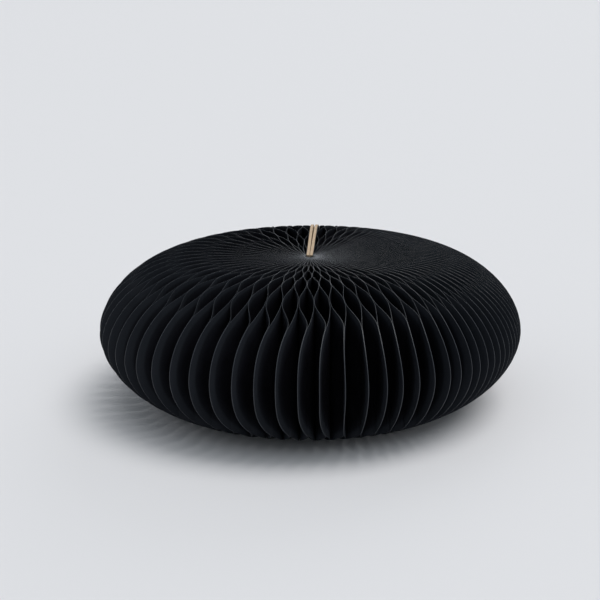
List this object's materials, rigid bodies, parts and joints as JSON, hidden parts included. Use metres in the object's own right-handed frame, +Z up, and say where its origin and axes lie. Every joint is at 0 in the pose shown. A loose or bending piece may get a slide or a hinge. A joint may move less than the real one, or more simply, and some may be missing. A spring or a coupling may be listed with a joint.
{
  "type": "honeycomb paper ornament",
  "caption": "Round flattened black honeycomb paper ornament: glued radial leaves fan round a spine between two kraft board covers and fold flat like a book.",
  "frame": {"origin": "centre of the bounding box, on the surface it rests on", "axes": "+Z up along the glued spine; +Y to the seam where the two covers meet; the near side of the picture is -Y"},
  "size_m": [0.2996, 0.2985, 0.105],
  "materials": {
    "black_paper": "matte, fine fibre",
    "kraft_board": "uncoated",
    "nickel_plate": "satin nickel"
  },
  "bodies": {
    "cover_left": {"cover_board_left": "kraft_board", "lining_paper_left": "black_paper", "magnet_left_bottom": "nickel_plate", "magnet_left_top": "nickel_plate"},
    "leaf_01": {"leaf_bundle_01": "black_paper"},
    "leaf_02": {"leaf_bundle_02": "black_paper"},
    "leaf_03": {"leaf_bundle_03": "black_paper"},
    "leaf_04": {"leaf_bundle_04": "black_paper"},
    "leaf_05": {"leaf_bundle_05": "black_paper"},
    "leaf_06": {"leaf_bundle_06": "black_paper"},
    "leaf_07": {"leaf_bundle_07": "black_paper"},
    "leaf_08": {"leaf_bundle_08": "black_paper"},
    "leaf_09": {"leaf_bundle_09": "black_paper"},
    "leaf_10": {"leaf_bundle_10": "black_paper"},
    "leaf_11": {"leaf_bundle_11": "black_paper"},
    "leaf_12": {"leaf_bundle_12": "black_paper"},
    "leaf_13": {"leaf_bundle_13": "black_paper"},
    "leaf_14": {"leaf_bundle_14": "black_paper"},
    "leaf_15": {"leaf_bundle_15": "black_paper"},
    "leaf_16": {"leaf_bundle_16": "black_paper"},
    "leaf_17": {"leaf_bundle_17": "black_paper"},
    "leaf_18": {"leaf_bundle_18": "black_paper"},
    "leaf_19": {"leaf_bundle_19": "black_paper"},
    "leaf_20": {"leaf_bundle_20": "black_paper"},
    "leaf_21": {"leaf_bundle_21": "black_paper"},
    "leaf_22": {"leaf_bundle_22": "black_paper"},
    "leaf_23": {"leaf_bundle_23": "black_paper"},
    "leaf_24": {"leaf_bundle_24": "black_paper"},
    "leaf_25": {"leaf_bundle_25": "black_paper"},
    "leaf_26": {"leaf_bundle_26": "black_paper"},
    "leaf_27": {"leaf_bundle_27": "black_paper"},
    "leaf_28": {"leaf_bundle_28": "black_paper"},
    "leaf_29": {"leaf_bundle_29": "black_paper"},
    "leaf_30": {"leaf_bundle_30": "black_paper"},
    "leaf_31": {"leaf_bundle_31": "black_paper"},
    "leaf_32": {"leaf_bundle_32": "black_paper"},
    "leaf_33": {"leaf_bundle_33": "black_paper"},
    "leaf_34": {"leaf_bundle_34": "black_paper"},
    "leaf_35": {"leaf_bundle_35": "black_paper"},
    "leaf_36": {"leaf_bundle_36": "black_paper"},
    "leaf_37": {"leaf_bundle_37": "black_paper"},
    "cover_right": {"cover_board_right": "kraft_board", "lining_paper_right": "black_paper", "magnet_right_bottom": "nickel_plate", "magnet_right_top": "nickel_plate"}
  },
  "joints": [
    {"name": "spine_fold_01", "type": "hinge", "parent": "cover_left", "child": "leaf_01", "pos_m": [-0.0026, 0.00518, 0.0525], "axis": [0, 0, -1], "range_deg": [0, 16.38]},
    {"name": "spine_fold_02", "type": "hinge", "parent": "leaf_01", "child": "leaf_02", "pos_m": [-0.00344, 0.00493, 0.0525], "axis": [0, 0, -1], "range_deg": [0, 16.38]},
    {"name": "spine_fold_03", "type": "hinge", "parent": "leaf_02", "child": "leaf_03", "pos_m": [-0.00427, 0.00439, 0.0525], "axis": [0, 0, -1], "range_deg": [0, 16.38]},
    {"name": "spine_fold_04", "type": "hinge", "parent": "leaf_03", "child": "leaf_04", "pos_m": [-0.005, 0.00354, 0.0525], "axis": [0, 0, -1], "range_deg": [0, 15.38]},
    {"name": "spine_fold_05", "type": "hinge", "parent": "leaf_04", "child": "leaf_05", "pos_m": [-0.00551, 0.00244, 0.0525], "axis": [0, 0, -1], "range_deg": [0, 14.66]},
    {"name": "spine_fold_06", "type": "hinge", "parent": "leaf_05", "child": "leaf_06", "pos_m": [-0.00575, 0.00117, 0.0525], "axis": [0, 0, -1], "range_deg": [0, 13.94]},
    {"name": "spine_fold_07", "type": "hinge", "parent": "leaf_06", "child": "leaf_07", "pos_m": [-0.00567, -0.00016, 0.0525], "axis": [0, 0, -1], "range_deg": [0, 13.23]},
    {"name": "spine_fold_08", "type": "hinge", "parent": "leaf_07", "child": "leaf_08", "pos_m": [-0.00527, -0.00146, 0.0525], "axis": [0, 0, -1], "range_deg": [0, 12.51]},
    {"name": "spine_fold_09", "type": "hinge", "parent": "leaf_08", "child": "leaf_09", "pos_m": [-0.00461, -0.00265, 0.0525], "axis": [0, 0, -1], "range_deg": [0, 11.79]},
    {"name": "spine_fold_10", "type": "hinge", "parent": "leaf_09", "child": "leaf_10", "pos_m": [-0.00373, -0.00366, 0.0525], "axis": [0, 0, -1], "range_deg": [0, 12.89]},
    {"name": "spine_fold_11", "type": "hinge", "parent": "leaf_10", "child": "leaf_11", "pos_m": [-0.00268, -0.00442, 0.0525], "axis": [0, 0, -1], "range_deg": [0, 12.39]},
    {"name": "spine_fold_12", "type": "hinge", "parent": "leaf_11", "child": "leaf_12", "pos_m": [-0.00155, -0.00492, 0.0525], "axis": [0, 0, -1], "range_deg": [0, 11.89]},
    {"name": "spine_fold_13", "type": "hinge", "parent": "leaf_12", "child": "leaf_13", "pos_m": [-0.0004, -0.00516, 0.0525], "axis": [0, 0, -1], "range_deg": [0, 10.69]},
    {"name": "spine_fold_14", "type": "hinge", "parent": "leaf_13", "child": "leaf_14", "pos_m": [0.0007, -0.00518, 0.0525], "axis": [0, 0, -1], "range_deg": [0, 10.29]},
    {"name": "spine_fold_15", "type": "hinge", "parent": "leaf_14", "child": "leaf_15", "pos_m": [0.00171, -0.00502, 0.0525], "axis": [0, 0, -1], "range_deg": [0, 9.89]},
    {"name": "spine_fold_16", "type": "hinge", "parent": "leaf_15", "child": "leaf_16", "pos_m": [0.00261, -0.00471, 0.0525], "axis": [0, 0, -1], "range_deg": [0, 9.49]},
    {"name": "spine_fold_17", "type": "hinge", "parent": "leaf_16", "child": "leaf_17", "pos_m": [0.00338, -0.00429, 0.0525], "axis": [0, 0, -1], "range_deg": [0, 9.09]},
    {"name": "spine_fold_18", "type": "hinge", "parent": "leaf_17", "child": "leaf_18", "pos_m": [0.00402, -0.0038, 0.0525], "axis": [0, 0, -1], "range_deg": [0, 6.99]},
    {"name": "spine_fold_19", "type": "hinge", "parent": "leaf_18", "child": "leaf_19", "pos_m": [0.00456, -0.00327, 0.0525], "axis": [0, 0, -1], "range_deg": [0, 6.66]},
    {"name": "spine_fold_20", "type": "hinge", "parent": "leaf_19", "child": "leaf_20", "pos_m": [0.005, -0.00271, 0.0525], "axis": [0, 0, -1], "range_deg": [0, 6.33]},
    {"name": "spine_fold_21", "type": "hinge", "parent": "leaf_20", "child": "leaf_21", "pos_m": [0.00536, -0.00215, 0.0525], "axis": [0, 0, -1], "range_deg": [0, 5.99]},
    {"name": "spine_fold_22", "type": "hinge", "parent": "leaf_21", "child": "leaf_22", "pos_m": [0.00564, -0.00158, 0.0525], "axis": [0, 0, -1], "range_deg": [0, 5.89]},
    {"name": "spine_fold_23", "type": "hinge", "parent": "leaf_22", "child": "leaf_23", "pos_m": [0.00585, -0.00102, 0.0525], "axis": [0, 0, -1], "range_deg": [0, 5.88]},
    {"name": "spine_fold_24", "type": "hinge", "parent": "leaf_23", "child": "leaf_24", "pos_m": [0.006, -0.00047, 0.0525], "axis": [0, 0, -1], "range_deg": [0, 5.86]},
    {"name": "spine_fold_25", "type": "hinge", "parent": "leaf_24", "child": "leaf_25", "pos_m": [0.00608, 0.00007, 0.0525], "axis": [0, 0, -1], "range_deg": [0, 5.84]},
    {"name": "spine_fold_26", "type": "hinge", "parent": "leaf_25", "child": "leaf_26", "pos_m": [0.00611, 0.00059, 0.0525], "axis": [0, 0, -1], "range_deg": [0, 5.83]},
    {"name": "spine_fold_27", "type": "hinge", "parent": "leaf_26", "child": "leaf_27", "pos_m": [0.00608, 0.0011, 0.0525], "axis": [0, 0, -1], "range_deg": [0, 5.81]},
    {"name": "spine_fold_28", "type": "hinge", "parent": "leaf_27", "child": "leaf_28", "pos_m": [0.00601, 0.00159, 0.0525], "axis": [0, 0, -1], "range_deg": [0, 5.79]},
    {"name": "spine_fold_29", "type": "hinge", "parent": "leaf_28", "child": "leaf_29", "pos_m": [0.00589, 0.00206, 0.0525], "axis": [0, 0, -1], "range_deg": [0, 5.78]},
    {"name": "spine_fold_30", "type": "hinge", "parent": "leaf_29", "child": "leaf_30", "pos_m": [0.00572, 0.00251, 0.0525], "axis": [0, 0, -1], "range_deg": [0, 5.76]},
    {"name": "spine_fold_31", "type": "hinge", "parent": "leaf_30", "child": "leaf_31", "pos_m": [0.00551, 0.00294, 0.0525], "axis": [0, 0, -1], "range_deg": [0, 5.74]},
    {"name": "spine_fold_32", "type": "hinge", "parent": "leaf_31", "child": "leaf_32", "pos_m": [0.00526, 0.00335, 0.0525], "axis": [0, 0, -1], "range_deg": [0, 5.73]},
    {"name": "spine_fold_33", "type": "hinge", "parent": "leaf_32", "child": "leaf_33", "pos_m": [0.00495, 0.00374, 0.0525], "axis": [0, 0, -1], "range_deg": [0, 5.71]},
    {"name": "spine_fold_34", "type": "hinge", "parent": "leaf_33", "child": "leaf_34", "pos_m": [0.00461, 0.00411, 0.0525], "axis": [0, 0, -1], "range_deg": [0, 5.69]},
    {"name": "spine_fold_35", "type": "hinge", "parent": "leaf_34", "child": "leaf_35", "pos_m": [0.00421, 0.00445, 0.0525], "axis": [0, 0, -1], "range_deg": [0, 6.39]},
    {"name": "spine_fold_36", "type": "hinge", "parent": "leaf_35", "child": "leaf_36", "pos_m": [0.00376, 0.00477, 0.0525], "axis": [0, 0, -1], "range_deg": [0, 8.92]},
    {"name": "spine_fold_37", "type": "hinge", "parent": "leaf_36", "child": "leaf_37", "pos_m": [0.00323, 0.00502, 0.0525], "axis": [0, 0, -1], "range_deg": [0, 11.45]},
    {"name": "spine_fold_38", "type": "hinge", "parent": "leaf_37", "child": "cover_right", "pos_m": [0.0026, 0.00518, 0.0525], "axis": [0, 0, -1], "range_deg": [0, 13.98]}
  ],
  "couplings": [
    {"joint": "spine_fold_02", "follows": "spine_fold_01", "ratio": 1},
    {"joint": "spine_fold_03", "follows": "spine_fold_01", "ratio": 1},
    {"joint": "spine_fold_04", "follows": "spine_fold_01", "ratio": 0.93902},
    {"joint": "spine_fold_05", "follows": "spine_fold_01", "ratio": 0.89512},
    {"joint": "spine_fold_06", "follows": "spine_fold_01", "ratio": 0.85122},
    {"joint": "spine_fold_07", "follows": "spine_fold_01", "ratio": 0.80732},
    {"joint": "spine_fold_08", "follows": "spine_fold_01", "ratio": 0.76341},
    {"joint": "spine_fold_09", "follows": "spine_fold_01", "ratio": 0.71951},
    {"joint": "spine_fold_10", "follows": "spine_fold_01", "ratio": 0.78659},
    {"joint": "spine_fold_11", "follows": "spine_fold_01", "ratio": 0.7561},
    {"joint": "spine_fold_12", "follows": "spine_fold_01", "ratio": 0.72561},
    {"joint": "spine_fold_13", "follows": "spine_fold_01", "ratio": 0.65244},
    {"joint": "spine_fold_14", "follows": "spine_fold_01", "ratio": 0.62805},
    {"joint": "spine_fold_15", "follows": "spine_fold_01", "ratio": 0.60366},
    {"joint": "spine_fold_16", "follows": "spine_fold_01", "ratio": 0.57927},
    {"joint": "spine_fold_17", "follows": "spine_fold_01", "ratio": 0.55488},
    {"joint": "spine_fold_18", "follows": "spine_fold_01", "ratio": 0.42683},
    {"joint": "spine_fold_19", "follows": "spine_fold_01", "ratio": 0.4065},
    {"joint": "spine_fold_20", "follows": "spine_fold_01", "ratio": 0.38618},
    {"joint": "spine_fold_21", "follows": "spine_fold_01", "ratio": 0.36585},
    {"joint": "spine_fold_22", "follows": "spine_fold_01", "ratio": 0.35976},
    {"joint": "spine_fold_23", "follows": "spine_fold_01", "ratio": 0.35874},
    {"joint": "spine_fold_24", "follows": "spine_fold_01", "ratio": 0.35772},
    {"joint": "spine_fold_25", "follows": "spine_fold_01", "ratio": 0.35671},
    {"joint": "spine_fold_26", "follows": "spine_fold_01", "ratio": 0.35569},
    {"joint": "spine_fold_27", "follows": "spine_fold_01", "ratio": 0.35467},
    {"joint": "spine_fold_28", "follows": "spine_fold_01", "ratio": 0.35366},
    {"joint": "spine_fold_29", "follows": "spine_fold_01", "ratio": 0.35264},
    {"joint": "spine_fold_30", "follows": "spine_fold_01", "ratio": 0.35163},
    {"joint": "spine_fold_31", "follows": "spine_fold_01", "ratio": 0.35061},
    {"joint": "spine_fold_32", "follows": "spine_fold_01", "ratio": 0.34959},
    {"joint": "spine_fold_33", "follows": "spine_fold_01", "ratio": 0.34858},
    {"joint": "spine_fold_34", "follows": "spine_fold_01", "ratio": 0.34756},
    {"joint": "spine_fold_35", "follows": "spine_fold_01", "ratio": 0.39024},
    {"joint": "spine_fold_36", "follows": "spine_fold_01", "ratio": 0.54472},
    {"joint": "spine_fold_37", "follows": "spine_fold_01", "ratio": 0.69919},
    {"joint": "spine_fold_38", "follows": "spine_fold_01", "ratio": 0.85366}
  ]
}
